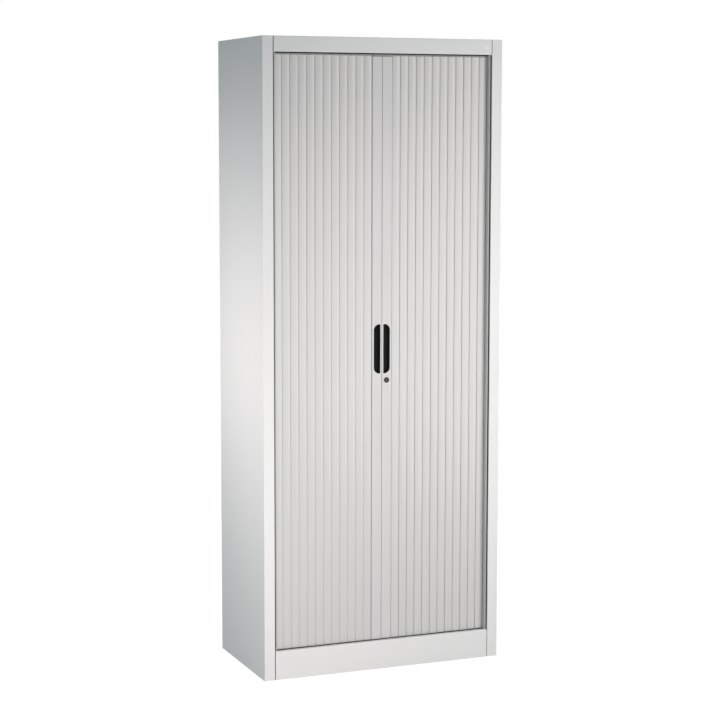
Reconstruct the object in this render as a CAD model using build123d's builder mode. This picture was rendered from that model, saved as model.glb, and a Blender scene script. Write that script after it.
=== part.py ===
from build123d import *
import os
from math import cos, hypot, pi, radians, sin

# Tambour door cabinet: a folded sheet-steel cupboard whose two doors are curtains of
# interlocking plastic slats. Each curtain hangs on a closing rail, runs in a track above
# and below, turns round the front corner and is stored between the side panel and a lining.
# Millimetres. X is the width, +Z is up, the front faces -Y. The origin is at the bottom
# centre. Pairs are modelled on the right-hand side and mirrored.

# Carcass
WIDTH = 800.0
DEPTH = 420.0
HEIGHT = 1980.0
SHEET = 1.0
BEND = 1.6  # radius of a fold, to the middle of the sheet
BEND_INSIDE = BEND - SHEET / 2
WELD_GAP = 0.2  # room between two sheets that are welded edge to face
POST_WIDTH = 35.0
POST_RETURN = 14.6
POST_LIP = 11.0
TOP_RAIL = 47.0
PLINTH_HEIGHT = 90.0
SEAM = 2.0  # open joint between a post and the rail or the plinth beside it
RETURN_FOLD = 18.0  # fold under the top rail and over the plinth
RETURN_UPSTAND = 16.0
PLINTH_TAIL = 39.0  # fold of the plinth that hangs down onto the deck
PLINTH_FOOT = 15.0  # fold of the plinth on the floor
REAR_FLANGE = 15.0
TOP_SIDE_FLANGE = 15.0
TOP_REAR_FLANGE = 25.0
BACK_LIFT = 15.0

# Strip of the jamb, which hides the gap beside the curtain
STRIP_SLOT = 3.6
STRIP_BLADE = 3.0
STRIP_SETBACK = 5.0
STRIP_FLANGE = 1.8

# Badge on the top rail
BADGE_RADIUS = 7.5
BADGE_THICK = 0.8
BADGE_INSET_X = 55.0  # badge's centre from the side and from the top
BADGE_INSET_Z = 25.0

# Curtain
HINGE_SETBACK = 27.0  # hinge line of the slats behind the front
POCKET_SETBACK = 12.0  # hinge line of the slats inside the side panel's outer face
CORNER_RADIUS = 30.0
SLAT_PITCH = 27.0
SLAT_CROWN = 5.0  # face of a slat in front of its hinges, at the middle
SLAT_EDGE = 4.0  # the same at its edges
SLAT_SKIN = 1.2
SLAT_LAP = 0.6  # how far the face runs past the socket's centre
BEAD_RADIUS = 1.6
BEAD_NECK = 1.1
SOCKET_WALL = 1.1
SOCKET_SIDES = 8  # beads and sockets are drawn with flats
PLAY = 0.3  # running gap of the curtain's moving pieces
MOUTH_OUT = 20.0  # the socket's mouth, in degrees to the front of the slat's line
MOUTH_IN = 75.0  # and to the back of it, the way the curtain bends

# Tracks
TRACK_WALL = 1.5
TRACK_PLAY = 0.8
TRACK_HEIGHT = 15.0
TRACK_REVEAL = 8.0  # upper track seen below the top rail
TRACK_STOP = 12.0
SLAT_ENTRY = 15.0  # length of a slat inside the upper track
DECK_DROP = 19.0  # deck below the top of the plinth
DECK_FLANGE = 25.0
FLOOR_GAP = 1.5  # floor panel behind the closing rails

# Closing rails
MEETING_GAP = 1.0
RAIL_WIDTH = 31.5
RAIL_DEPTH = 18.0
RAIL_WALL = 1.6
RAIL_PROUD = 1.5  # rail's face in front of the slats
RAIL_CORNER = 1.5
RAIL_LIFT = 0.5
GLIDE_FLANGE = 2.0
GLIDE_PLUG = 12.0
GLIDE_INSET = 4.0
SNUG = 0.1
OPEN_GAP = 1.4  # between an open rail and the jamb strip

# Finger grips, one in each closing rail
GRIP_WIDTH = 22.0
GRIP_LENGTH = 155.0
GRIP_HEIGHT = 1019.0
GRIP_EDGE = 4.6  # from the rail's meeting face
GRIP_OUTER = 18.5
GRIP_INNER = 2.5
GRIP_FLANGE = 1.8
GRIP_PROUD = 1.0
GRIP_DEPTH = 13.0
GRIP_WALL = 1.4

# Hook lock
LOCK_DROP = 99.0  # lock's axis below the middle of the grips
LOCK_FLANGE = 9.0
LOCK_PROUD = 2.0
LOCK_BARREL = 7.5
LOCK_PLUG = 5.5
RUNNING_FIT = 0.06
LOCK_NUT = 11.0
LOCK_NUT_THICK = 2.5
KEYWAY = (1.8, 7.0, 4.0)
HOOK_THICK = 2.5
HOOK_WIDTH = 8.0
HOOK_BORE = 3.0
STRIKE_REACH = 22.0  # strike pin from the lock's axis, towards the other rail
STRIKE_PIN = 2.0
STRIKE_PLATE = 1.0
STRIKE_WIDTH = 18.0
STRIKE_LENGTH = 28.0
STRIKE_EDGE = 1.5  # from the rail's meeting face
HOOK_GAP = 0.8
NIB_THICK = 4.5
NIB_TURN = 20.0

# Inside
LINING_GAP = 1.4
LINING_SETBACK = 60.0
LINING_FLANGE = 15.0
LINING_REAR = 12.0
UPRIGHT_WIDTH = 24.0
UPRIGHT_DEPTH = 5.0
UPRIGHT_INSET = 20.0  # from the lining's front and from the back panel
SLOT_WIDTH = 3.2
SLOT_HEIGHT = 12.0
SLOT_PITCH = 125.0
SLOT_FIRST = 90.0  # above the floor of the bottom compartment
SHELF_COUNT = 4
SHELF_SLOTS = 3  # slots from one shelf to the next
SHELF_SHEET = 1.0
SHELF_FOLD = 25.0
SHELF_LIP = 12.0
SHELF_CLEAR = 2.0
CLIP_THICK = 1.5
CLIP_WIDTH = 10.0
CLIP_LEDGE = 10.0
CLIP_LEG = 14.0
CLIP_HOOK = 4.0
CLIP_PLAY = 0.3

# Levelling feet
FOOT_INSET_X = 55.0
FOOT_INSET_Y = 60.0
FOOT_CLEAR = 1.0
FOOT_PAD = 16.0
FOOT_PAD_HEIGHT = 10.0
FOOT_STUD = 5.0
FOOT_STUD_TOP = 66.0
WELD_NUT = 10.0
THREAD_SIDES = 16  # studs and threaded bores are drawn with flats

# Planes and lines that several pieces share
SIDE = WIDTH / 2
FRONT = -DEPTH / 2
BACK = DEPTH / 2
INNER_SIDE = SIDE - SHEET
POST_EDGE = SIDE - POST_WIDTH
FRAME_HALF = POST_EDGE - SEAM
FOLD_BACK = FRONT + RETURN_FOLD
PANEL_FACE = BACK - 2 * SHEET
CEILING = HEIGHT - SHEET
DECK = PLINTH_HEIGHT - DECK_DROP

HINGE_LINE = FRONT + HINGE_SETBACK
POCKET_LINE = SIDE - POCKET_SETBACK
CORNER_X = POCKET_LINE - CORNER_RADIUS
CORNER_Y = HINGE_LINE + CORNER_RADIUS
SOCKET_BORE = BEAD_RADIUS + PLAY
SOCKET_RADIUS = SOCKET_BORE + SOCKET_WALL

TRACK_OUT = SLAT_CROWN + TRACK_PLAY
TRACK_IN = SOCKET_RADIUS + TRACK_PLAY
UPPER_LIP = HEIGHT - TOP_RAIL - TRACK_REVEAL
LOWER_LIP = DECK + TRACK_HEIGHT
SLAT_TOP = UPPER_LIP + SLAT_ENTRY
SLAT_FOOT = DECK + TRACK_WALL + PLAY

RAIL_NEAR = MEETING_GAP / 2
RAIL_HINGE = RAIL_NEAR + RAIL_WIDTH
RAIL_EDGE = RAIL_HINGE + SLAT_LAP
RAIL_FRONT = HINGE_LINE - SLAT_CROWN - RAIL_PROUD
RAIL_BACK = RAIL_FRONT + RAIL_DEPTH
RAIL_TOP = UPPER_LIP - RAIL_LIFT - GLIDE_FLANGE
RAIL_FOOT = LOWER_LIP + RAIL_LIFT + GLIDE_FLANGE
RAIL_BOX = RAIL_HINGE - SOCKET_RADIUS + 0.2
SLAT_COUNT = int((POST_EDGE - RAIL_HINGE) // SLAT_PITCH) + 1
BLADE_OUT = POST_EDGE - STRIP_SLOT
BLADE_IN = BLADE_OUT - STRIP_BLADE
TRAVEL = BLADE_IN - OPEN_GAP - RAIL_EDGE

GRIP_X = RAIL_NEAR + GRIP_EDGE + GRIP_WIDTH / 2
LOCK_X = RAIL_NEAR + RAIL_WIDTH / 2
LOCK_HEIGHT = GRIP_HEIGHT - LOCK_DROP
NUT_BACK = RAIL_BACK + LOCK_NUT_THICK
HOOK_FRONT = NUT_BACK + PLAY
HOOK_BACK = HOOK_FRONT + HOOK_THICK
NIB_INNER = hypot(STRIKE_REACH, HOOK_WIDTH / 2 + HOOK_GAP + STRIKE_PIN) + STRIKE_PIN + HOOK_GAP
NIB_OUTER = NIB_INNER + NIB_THICK

LINING_FACE = POCKET_LINE - TRACK_IN - TRACK_WALL - LINING_GAP
LINING_INSIDE = LINING_FACE - SHEET
LINING_FRONT = FRONT + LINING_SETBACK
UPRIGHT_FACE = LINING_INSIDE - UPRIGHT_DEPTH
UPRIGHT_FRONT = LINING_FRONT + UPRIGHT_INSET
UPRIGHT_REAR = PANEL_FACE - UPRIGHT_INSET - UPRIGHT_WIDTH / 2
UPRIGHT_ROWS = int((CEILING - PLINTH_HEIGHT - 2 * SLOT_FIRST) // SLOT_PITCH) + 1
SHELF_HALF = UPRIGHT_FACE - CLIP_THICK - CLIP_PLAY
SHELF_FRONT = LINING_FRONT + SHEET + SHELF_CLEAR
SHELF_REAR = PANEL_FACE - SHELF_CLEAR
FOOT_X = SIDE - FOOT_INSET_X
FOOT_Y = DEPTH / 2 - FOOT_INSET_Y


def finish(name, part):
    """Label a finished piece and write its file."""
    part.label = name
    export_step(part, f"parts/{name}.step")


def mirrored(part):
    """The left-hand piece of a pair, from the right-hand one."""
    with BuildPart() as other:
        add(part)
        mirror(about=Plane.YZ, mode=Mode.REPLACE)
    return other.part


def front_plane(y):
    """Upright plane that looks at the viewer, at a given depth."""
    return Plane.XZ.offset(-y)


def folded(plane, thickness, *points, bends=BEND):
    """Section of a folded sheet, from the line through the middle of its thickness.

    Folds that stay out of sight are drawn sharp, with a bend of 0.
    """
    with BuildSketch(plane) as section:
        with BuildLine():
            FilletPolyline(*points, radius=bends)
        trace(line_width=thickness)
    return section.sketch


# Carcass: side panels with their folded front posts, top panel, plinth, deck and back


def make_side_panel():
    half = SHEET / 2
    plan = folded(
        Plane.XY,
        SHEET,
        (SIDE - REAR_FLANGE, BACK - half),
        (SIDE - half, BACK - half),
        (SIDE - half, FRONT + half),
        (POST_EDGE + half, FRONT + half),
        (POST_EDGE + half, FRONT + POST_RETURN - half),
        (POST_EDGE + POST_LIP, FRONT + POST_RETURN - half),
        bends=[BEND, BEND, BEND, 0],
    )
    with BuildPart() as panel:
        extrude(plan, amount=HEIGHT)
        with Locations((0, 0, CEILING)):
            # The top panel drops in flush, so the folds behind the skin stop below it
            Box(
                2 * INNER_SIDE,
                DEPTH - 2 * SHEET,
                2 * SHEET,
                align=(Align.CENTER, Align.CENTER, Align.MIN),
                mode=Mode.SUBTRACT,
            )
    return panel.part


def make_top_panel():
    half = SHEET / 2
    plate = CEILING + half
    edge = INNER_SIDE - WELD_GAP
    rail = folded(
        Plane.YZ,
        SHEET,
        (LINING_FRONT, plate),
        (FRONT + half, plate),
        (FRONT + half, HEIGHT - TOP_RAIL + half),
        (FOLD_BACK - half, HEIGHT - TOP_RAIL + half),
        (FOLD_BACK - half, HEIGHT - TOP_RAIL + RETURN_UPSTAND),
        bends=[BEND, BEND, 0],
    )
    rear = folded(
        Plane.YZ,
        SHEET,
        (0, plate),
        (BACK - half, plate),
        (BACK - half, HEIGHT - TOP_REAR_FLANGE),
    )
    flange = folded(
        Plane.XZ,
        SHEET,
        (0, plate),
        (edge - half, plate),
        (edge - half, HEIGHT - TOP_SIDE_FLANGE),
        bends=0,
    )
    with BuildPart() as panel:
        with BuildSketch(Plane.XY.offset(CEILING)):
            Rectangle(2 * edge - 2 * SHEET, DEPTH - 2 * SHEET - 2 * WELD_GAP)
        extrude(amount=SHEET)
        extrude(flange, amount=BACK - 2 * SHEET - WELD_GAP, both=True)
        mirror(about=Plane.YZ)
        extrude(rail, amount=FRAME_HALF, both=True)
        extrude(rear, amount=SIDE - REAR_FLANGE - WELD_GAP, both=True)
    return panel.part


def make_plinth():
    half = SHEET / 2
    section = folded(
        Plane.YZ,
        SHEET,
        (FRONT + PLINTH_FOOT, half),
        (FRONT + half, half),
        (FRONT + half, PLINTH_HEIGHT - half),
        (FOLD_BACK - half, PLINTH_HEIGHT - half),
        (FOLD_BACK - half, PLINTH_HEIGHT - PLINTH_TAIL),
        bends=[0, BEND, BEND],
    )
    with BuildPart() as plinth:
        extrude(section, amount=FRAME_HALF, both=True)
    return plinth.part


def foot_places():
    return GridLocations(2 * FOOT_X, 2 * FOOT_Y, 2, 2)


def make_base_deck():
    """Tray that ties the sides together, carries the lower track and has a nut per foot."""
    with BuildPart() as deck:
        with BuildSketch(Plane.XY.offset(DECK)):
            with Locations((0, FOLD_BACK)):
                Rectangle(
                    2 * (INNER_SIDE - WELD_GAP),
                    PANEL_FACE - FOLD_BACK,
                    align=(Align.CENTER, Align.MIN),
                )
        extrude(amount=-DECK_FLANGE)
        offset(amount=-SHEET, openings=deck.faces().sort_by(Axis.Z)[0])
        with BuildSketch(Plane.XY.offset(DECK - SHEET)):
            with foot_places():
                RegularPolygon(WELD_NUT, 6)
                RegularPolygon(FOOT_STUD + RUNNING_FIT, THREAD_SIDES, False, mode=Mode.SUBTRACT)
        extrude(amount=-DECK_FLANGE + SHEET)
    return deck.part


def make_back_panel():
    """Flat sheet against the rear flanges, clear of the folds round it."""
    room = BEND_INSIDE + WELD_GAP
    with BuildPart() as panel:
        with BuildSketch(front_plane(BACK - SHEET)):
            with Locations((0, BACK_LIFT)):
                Rectangle(
                    2 * (INNER_SIDE - room),
                    CEILING - room - BACK_LIFT,
                    align=(Align.CENTER, Align.MIN),
                )
        extrude(amount=SHEET)
    return panel.part


def make_jamb_strips():
    """Plastic strips on the posts' folds: a blade beside the curtain and a flange."""
    flange_front = FRONT + POST_RETURN
    flange_back = flange_front + STRIP_FLANGE
    with BuildPart() as strips:
        with BuildSketch(Plane.XY.offset(PLINTH_HEIGHT + PLAY)):
            with Locations((BLADE_IN, FRONT + STRIP_SETBACK)):
                Rectangle(
                    STRIP_BLADE,
                    flange_back - FRONT - STRIP_SETBACK,
                    align=(Align.MIN, Align.MIN),
                )
            with Locations((BLADE_IN, flange_front)):
                Rectangle(
                    POST_EDGE + POST_LIP - BLADE_IN,
                    STRIP_FLANGE,
                    align=(Align.MIN, Align.MIN),
                )
        extrude(amount=HEIGHT - TOP_RAIL - PLINTH_HEIGHT - 2 * PLAY)
        mirror(about=Plane.YZ)
    return strips.part


def make_rail_badge():
    """Plain disc on the top rail."""
    with BuildPart() as badge:
        with BuildSketch(front_plane(FRONT)):
            with Locations((SIDE - BADGE_INSET_X, HEIGHT - BADGE_INSET_Z)):
                Circle(BADGE_RADIUS)
        extrude(amount=BADGE_THICK)
    return badge.part


# The curtain's line: straight behind the front, round the corner, straight along the side


def path_point(reach):
    """Point of the right curtain's line at a distance along it from the middle."""
    turn = (reach - CORNER_X) / CORNER_RADIUS
    if turn <= 0:
        return reach, HINGE_LINE
    if turn < pi / 2:
        return CORNER_X + CORNER_RADIUS * sin(turn), CORNER_Y - CORNER_RADIUS * cos(turn)
    return POCKET_LINE, CORNER_Y + reach - CORNER_X - CORNER_RADIUS * pi / 2


def hinge_points(travel):
    """Hinges of the right curtain with its rail moved by travel, each one slat apart."""
    reach = RAIL_HINGE + travel
    points = [(reach, HINGE_LINE)]
    for _ in range(SLAT_COUNT):
        low, high = reach, reach + SLAT_PITCH * pi / 2
        while high - low > 1e-9:
            middle = (low + high) / 2
            x, y = path_point(middle)
            if hypot(x - points[-1][0], y - points[-1][1]) < SLAT_PITCH:
                low = middle
            else:
                high = middle
        reach = high
        points.append(path_point(reach))
    return points


def curtain_outline(outwards, rear):
    """Area inside the two curtains' line, moved outwards by a distance."""
    with BuildSketch() as outline:
        with Locations((0, rear)):
            Rectangle(
                2 * (POCKET_LINE + outwards),
                rear - HINGE_LINE + outwards,
                align=(Align.CENTER, Align.MAX),
            )
        fillet(outline.vertices().group_by(Axis.Y)[0], CORNER_RADIUS + outwards)
    return outline.sketch


def band(z, inner, outer, rear):
    """Strip that follows the curtain's line, between two offsets from it."""
    with BuildSketch(Plane.XY.offset(z)) as strip:
        add(curtain_outline(outer, rear))
        add(curtain_outline(inner, rear), mode=Mode.SUBTRACT)
    return strip.sketch


def make_track(floor, wall_end):
    """Channel for the slats' ends: its floor lies on deck or ceiling, its ends are closed."""
    stop = hinge_points(TRAVEL)[-1][1] + SOCKET_RADIUS + PLAY
    rear = stop + TRACK_STOP
    depth = wall_end - floor
    wall = TRACK_WALL if depth > 0 else -TRACK_WALL
    with BuildPart() as track:
        extrude(band(floor, -TRACK_IN - TRACK_WALL, TRACK_OUT + TRACK_WALL, rear), amount=depth)
        hollow = band(floor + wall, -TRACK_IN, TRACK_OUT, rear)
        extrude(hollow, amount=depth - wall, mode=Mode.SUBTRACT)
        middle = POCKET_LINE + (TRACK_OUT - TRACK_IN) / 2
        with BuildSketch(Plane.XY.offset(floor)):
            with Locations((middle, stop), (-middle, stop)):
                Rectangle(
                    TRACK_OUT + TRACK_IN + 2 * TRACK_WALL,
                    TRACK_STOP,
                    align=(Align.CENTER, Align.MIN),
                )
        extrude(amount=(SLAT_ENTRY + TRACK_HEIGHT) * (1 if depth > 0 else -1) / 2)
    return track.part


def make_floor_panel():
    """Floor of the bottom compartment: a tray turned over on the deck, behind the rails."""
    with BuildPart() as floor:
        with BuildSketch(Plane.XY.offset(DECK)):
            add(curtain_outline(-TRACK_IN - TRACK_WALL - PLAY, PANEL_FACE))
            with Locations((0, RAIL_BACK + FLOOR_GAP)):
                Rectangle(WIDTH, DEPTH, align=(Align.CENTER, Align.MIN), mode=Mode.INTERSECT)
        extrude(amount=DECK_DROP)
        offset(amount=-SHEET, openings=floor.faces().sort_by(Axis.Z)[0])
    return floor.part


# Slats: a bead on one edge turns in the socket on the edge of its neighbour


def ring(radius, mode=Mode.ADD):
    """Outline round a hinge, with a flat to the front and one to the back."""
    return RegularPolygon(radius, SOCKET_SIDES, False, 90 - 180 / SOCKET_SIDES, mode=mode)


def socket_section(x):
    """Socket round a hinge: a ring with a mouth that lets the next slat turn inwards."""
    with BuildSketch() as socket:
        with Locations((x, 0)):
            ring(SOCKET_RADIUS)
            ring(SOCKET_BORE, mode=Mode.SUBTRACT)
        far = 3 * SOCKET_RADIUS
        middle = (MOUTH_OUT - MOUTH_IN) / 2
        corners = [(x, 0)]
        for angle in (MOUTH_OUT, middle, -MOUTH_IN):
            corners.append((x + far * cos(radians(angle)), far * sin(radians(angle))))
        Polygon(*corners, align=None, mode=Mode.SUBTRACT)
    return socket.sketch


def slat_section():
    """Slat across its length: hinge at the origin, face towards +Y, socket at one pitch."""
    web = SOCKET_RADIUS + PLAY
    start = web - BEAD_NECK / 2
    end = SLAT_PITCH + SLAT_LAP
    middle = (start + end) / 2
    with BuildSketch() as section:
        with BuildLine():
            ThreePointArc((start, SLAT_EDGE), (middle, SLAT_CROWN), (end, SLAT_EDGE))
            Line((end, SLAT_EDGE), (end, SLAT_EDGE - SLAT_SKIN))
            ThreePointArc(
                (end, SLAT_EDGE - SLAT_SKIN),
                (middle, SLAT_CROWN - SLAT_SKIN),
                (start, SLAT_EDGE - SLAT_SKIN),
            )
            Line((start, SLAT_EDGE - SLAT_SKIN), (start, SLAT_EDGE))
        make_face()
        add(socket_section(SLAT_PITCH))
        ring(BEAD_RADIUS)
        Rectangle(web + BEAD_NECK, BEAD_NECK, align=(Align.MIN, Align.CENTER))
        corner = (Align.MIN, Align.MIN)
        with Locations((web, -BEAD_NECK / 2)):
            Rectangle(BEAD_NECK, SLAT_EDGE - SLAT_SKIN / 2 + BEAD_NECK / 2, align=corner)
        with Locations((SLAT_PITCH - SOCKET_RADIUS, SOCKET_BORE - SLAT_SKIN)):
            Rectangle(SOCKET_WALL, SLAT_EDGE - SOCKET_BORE + SLAT_SKIN / 2, align=corner)
    return section.sketch


def make_slat(section, first, second):
    """Slat between two hinges of the right curtain, its face outwards."""
    along = (second[0] - first[0], second[1] - first[1], 0)
    top = Plane(origin=(*first, SLAT_TOP), x_dir=along, z_dir=(0, 0, -1))
    with BuildPart() as slat:
        with BuildSketch(top):
            add(section)
        extrude(amount=SLAT_TOP - SLAT_FOOT)
    return slat.part


# Closing rails, their glides and grips


def rail_section(inset):
    """Outline of the rail's hollow box, drawn in by a distance."""
    with BuildSketch() as box:
        with Locations((RAIL_NEAR + inset, RAIL_FRONT + inset)):
            Rectangle(
                RAIL_BOX - RAIL_NEAR - 2 * inset,
                RAIL_DEPTH - 2 * inset,
                align=(Align.MIN, Align.MIN),
            )
    return box.sketch


def make_closing_rail(with_lock):
    with BuildPart() as rail:
        with BuildSketch(Plane.XY.offset(RAIL_FOOT)) as section:
            add(rail_section(0))
            with Locations((RAIL_BOX, RAIL_FRONT)):
                Rectangle(RAIL_EDGE - RAIL_BOX, RAIL_WALL, align=(Align.MIN, Align.MIN))
            fillet(section.vertices().group_by(Axis.X)[0], RAIL_CORNER)
            add(rail_section(RAIL_WALL), mode=Mode.SUBTRACT)
            with Locations(Location((0, HINGE_LINE, 0))):
                add(mirror(socket_section(RAIL_HINGE), about=Plane.XZ, mode=Mode.PRIVATE))
        extrude(amount=RAIL_TOP - RAIL_FOOT)
        with BuildSketch(front_plane(RAIL_FRONT)):
            add(grip_outline(GRIP_FLANGE - SNUG))
        extrude(amount=-RAIL_WALL, mode=Mode.SUBTRACT)
        if with_lock:
            with BuildSketch(front_plane(RAIL_FRONT)):
                with Locations((LOCK_X, LOCK_HEIGHT)):
                    Circle(LOCK_BARREL + SNUG)
            extrude(amount=-RAIL_DEPTH, mode=Mode.SUBTRACT)
    return rail.part


def make_glides():
    """Nylon ends of a closing rail: a plug in the tube, a flange and a tongue in the track."""
    tongue_length = RAIL_BOX - RAIL_NEAR - 2 * GLIDE_INSET
    tongue_width = TRACK_OUT + TRACK_IN - 2 * PLAY
    tongue_y = HINGE_LINE - TRACK_OUT + PLAY
    ends = (
        (RAIL_TOP, 1, SLAT_TOP - RAIL_TOP - GLIDE_FLANGE),
        (RAIL_FOOT, -1, RAIL_FOOT - GLIDE_FLANGE - SLAT_FOOT),
    )
    with BuildPart() as glides:
        for end, away, reach in ends:
            with BuildSketch(Plane.XY.offset(end)):
                add(rail_section(0))
            extrude(amount=away * GLIDE_FLANGE)
            with BuildSketch(Plane.XY.offset(end)):
                add(rail_section(RAIL_WALL + SNUG))
            extrude(amount=-away * GLIDE_PLUG)
            with BuildSketch(Plane.XY.offset(end + away * GLIDE_FLANGE)):
                with Locations((RAIL_NEAR + GLIDE_INSET, tongue_y)):
                    Rectangle(tongue_length, tongue_width, align=(Align.MIN, Align.MIN))
            extrude(amount=away * reach)
    return glides.part


def grip_outline(inset):
    """Half of a long rounded shape: its tight corners face the other rail."""
    with BuildSketch() as outline:
        with Locations((GRIP_X, GRIP_HEIGHT)):
            Rectangle(GRIP_WIDTH - 2 * inset, GRIP_LENGTH - 2 * inset)
        corners = outline.vertices().group_by(Axis.X)
        fillet(corners[-1], GRIP_OUTER - inset)
        if inset == 0:
            fillet(corners[0], GRIP_INNER)
    return outline.sketch


def make_grip():
    """Moulded finger cup, set through the rail's face and closed behind."""
    with BuildPart() as grip:
        with BuildSketch(front_plane(RAIL_FRONT)):
            add(grip_outline(0))
        extrude(amount=GRIP_PROUD)
        with BuildSketch(front_plane(RAIL_FRONT)):
            add(grip_outline(GRIP_FLANGE))
        extrude(amount=-GRIP_DEPTH)
        with BuildSketch(front_plane(RAIL_FRONT - GRIP_PROUD)):
            add(grip_outline(GRIP_FLANGE + GRIP_WALL))
        extrude(amount=-GRIP_PROUD - GRIP_DEPTH + GRIP_WALL, mode=Mode.SUBTRACT)
    return grip.part


# Hook lock in the right rail and its strike on the left one


def disc_section(y, radius):
    with BuildSketch(front_plane(y)) as disc:
        with Locations((LOCK_X, LOCK_HEIGHT)):
            Circle(radius)
    return disc.sketch


def make_lock_housing():
    with BuildPart() as housing:
        extrude(disc_section(RAIL_FRONT, LOCK_FLANGE), amount=LOCK_PROUD)
        extrude(disc_section(RAIL_FRONT, LOCK_BARREL), amount=-RAIL_DEPTH - LOCK_NUT_THICK)
        bore = disc_section(RAIL_FRONT - LOCK_PROUD, LOCK_PLUG + RUNNING_FIT)
        extrude(bore, amount=-LOCK_PROUD - RAIL_DEPTH - LOCK_NUT_THICK, mode=Mode.SUBTRACT)
    return housing.part


def make_lock_nut():
    with BuildPart() as nut:
        with BuildSketch(front_plane(NUT_BACK)):
            with Locations((LOCK_X, LOCK_HEIGHT)):
                RegularPolygon(LOCK_NUT, 6)
                RegularPolygon(LOCK_BARREL, THREAD_SIDES, False, mode=Mode.SUBTRACT)
        extrude(amount=LOCK_NUT_THICK)
    return nut.part


def make_lock_plug():
    """Cylinder that the key turns; the hook is fixed on its square end."""
    width, height, depth = KEYWAY
    with BuildPart() as plug:
        front = RAIL_FRONT - LOCK_PROUD
        extrude(disc_section(front, LOCK_PLUG), amount=front - HOOK_FRONT)
        with BuildSketch(front_plane(HOOK_FRONT)):
            with Locations((LOCK_X, LOCK_HEIGHT)):
                Rectangle(2 * HOOK_BORE, 2 * HOOK_BORE)
        extrude(amount=-HOOK_THICK)
        with BuildSketch(front_plane(front)):
            with Locations((LOCK_X, LOCK_HEIGHT)):
                Rectangle(width, height)
        extrude(amount=-depth, mode=Mode.SUBTRACT)
    return plug.part


def make_lock_hook():
    """Sickle that hangs down when unlocked and swings behind the strike pin."""
    with BuildPart() as hook:
        with BuildSketch(front_plane(HOOK_FRONT)):
            with Locations((LOCK_X, LOCK_HEIGHT)):
                Circle(HOOK_WIDTH / 2 + HOOK_GAP)
                Rectangle(HOOK_WIDTH, NIB_OUTER - HOOK_GAP, align=(Align.CENTER, Align.MAX))
                add(nib_section())
                Rectangle(2 * HOOK_BORE, 2 * HOOK_BORE, mode=Mode.SUBTRACT)
        extrude(amount=-HOOK_THICK)
    return hook.part


def nib_section():
    """Curved end of the hook, an arc round the lock's axis at the pin's far side."""
    with BuildSketch() as nib:
        with BuildLine():
            first = -90 - NIB_TURN
            CenterArc((0, 0), NIB_OUTER, first, NIB_TURN)
            CenterArc((0, 0), NIB_INNER, first, NIB_TURN)
            start, end = radians(first), radians(-90)
            Line(
                (NIB_INNER * cos(start), NIB_INNER * sin(start)),
                (NIB_OUTER * cos(start), NIB_OUTER * sin(start)),
            )
            Line(
                (NIB_INNER * cos(end), NIB_INNER * sin(end)),
                (NIB_OUTER * cos(end), NIB_OUTER * sin(end)),
            )
        make_face()
    return nib.sketch


def make_strike():
    """Plate on the back of the left rail with the pin that the hook catches."""
    pin = (LOCK_X - STRIKE_REACH, LOCK_HEIGHT + HOOK_WIDTH / 2 + HOOK_GAP + STRIKE_PIN)
    plate_x = -RAIL_NEAR - STRIKE_EDGE - STRIKE_WIDTH / 2
    with BuildPart() as strike:
        with BuildSketch(front_plane(RAIL_BACK)):
            with Locations((plate_x, pin[1])):
                Rectangle(STRIKE_WIDTH, STRIKE_LENGTH)
        extrude(amount=-STRIKE_PLATE)
        with BuildSketch(front_plane(RAIL_BACK + STRIKE_PLATE)):
            with Locations(pin):
                Circle(STRIKE_PIN)
        extrude(amount=-(HOOK_BACK - RAIL_BACK - STRIKE_PLATE + PLAY))
    return strike.part


# Inside: linings, slotted uprights, shelves and their clips


def make_lining():
    """Inner wall of the pocket, with a flange beside the doorway and one on the back."""
    middle = LINING_FACE - SHEET / 2
    front = LINING_FRONT + SHEET / 2
    rear = PANEL_FACE - SHEET / 2
    plan = folded(
        Plane.XY.offset(PLINTH_HEIGHT),
        SHEET,
        (middle + LINING_REAR, rear),
        (middle, rear),
        (middle, front),
        (middle - LINING_FLANGE, front),
        bends=[0, BEND],
    )
    with BuildPart() as lining:
        extrude(plan, amount=CEILING - PLINTH_HEIGHT)
    return lining.part


def make_uprights():
    """Four slotted channels, two on each lining."""
    middle = UPRIGHT_FACE + SHEET / 2
    half = UPRIGHT_WIDTH / 2 - SHEET / 2
    with BuildPart() as uprights:
        for y in (UPRIGHT_FRONT, UPRIGHT_REAR):
            plan = folded(
                Plane.XY.offset(PLINTH_HEIGHT),
                SHEET,
                (LINING_INSIDE, y - half),
                (middle, y - half),
                (middle, y + half),
                (LINING_INSIDE, y + half),
                bends=0,
            )
            extrude(plan, amount=CEILING - PLINTH_HEIGHT)
        centre_z = PLINTH_HEIGHT + SLOT_FIRST + SLOT_PITCH * (UPRIGHT_ROWS - 1) / 2
        centre_y = (UPRIGHT_FRONT + UPRIGHT_REAR) / 2
        with BuildSketch(Plane.YZ.offset(UPRIGHT_FACE)):
            with Locations((centre_y, centre_z)):
                with GridLocations(UPRIGHT_REAR - UPRIGHT_FRONT, SLOT_PITCH, 2, UPRIGHT_ROWS):
                    Rectangle(SLOT_WIDTH, SLOT_HEIGHT)
        extrude(amount=SHEET, mode=Mode.SUBTRACT)
        mirror(about=Plane.YZ)
    return uprights.part


def shelf_top(number):
    """Height of a shelf's top: its clips sit in every third row of slots."""
    row = PLINTH_HEIGHT + SLOT_FIRST + SLOT_PITCH * (SHELF_SLOTS * number - 1)
    return row - SLOT_HEIGHT / 2 + SHELF_FOLD


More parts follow.
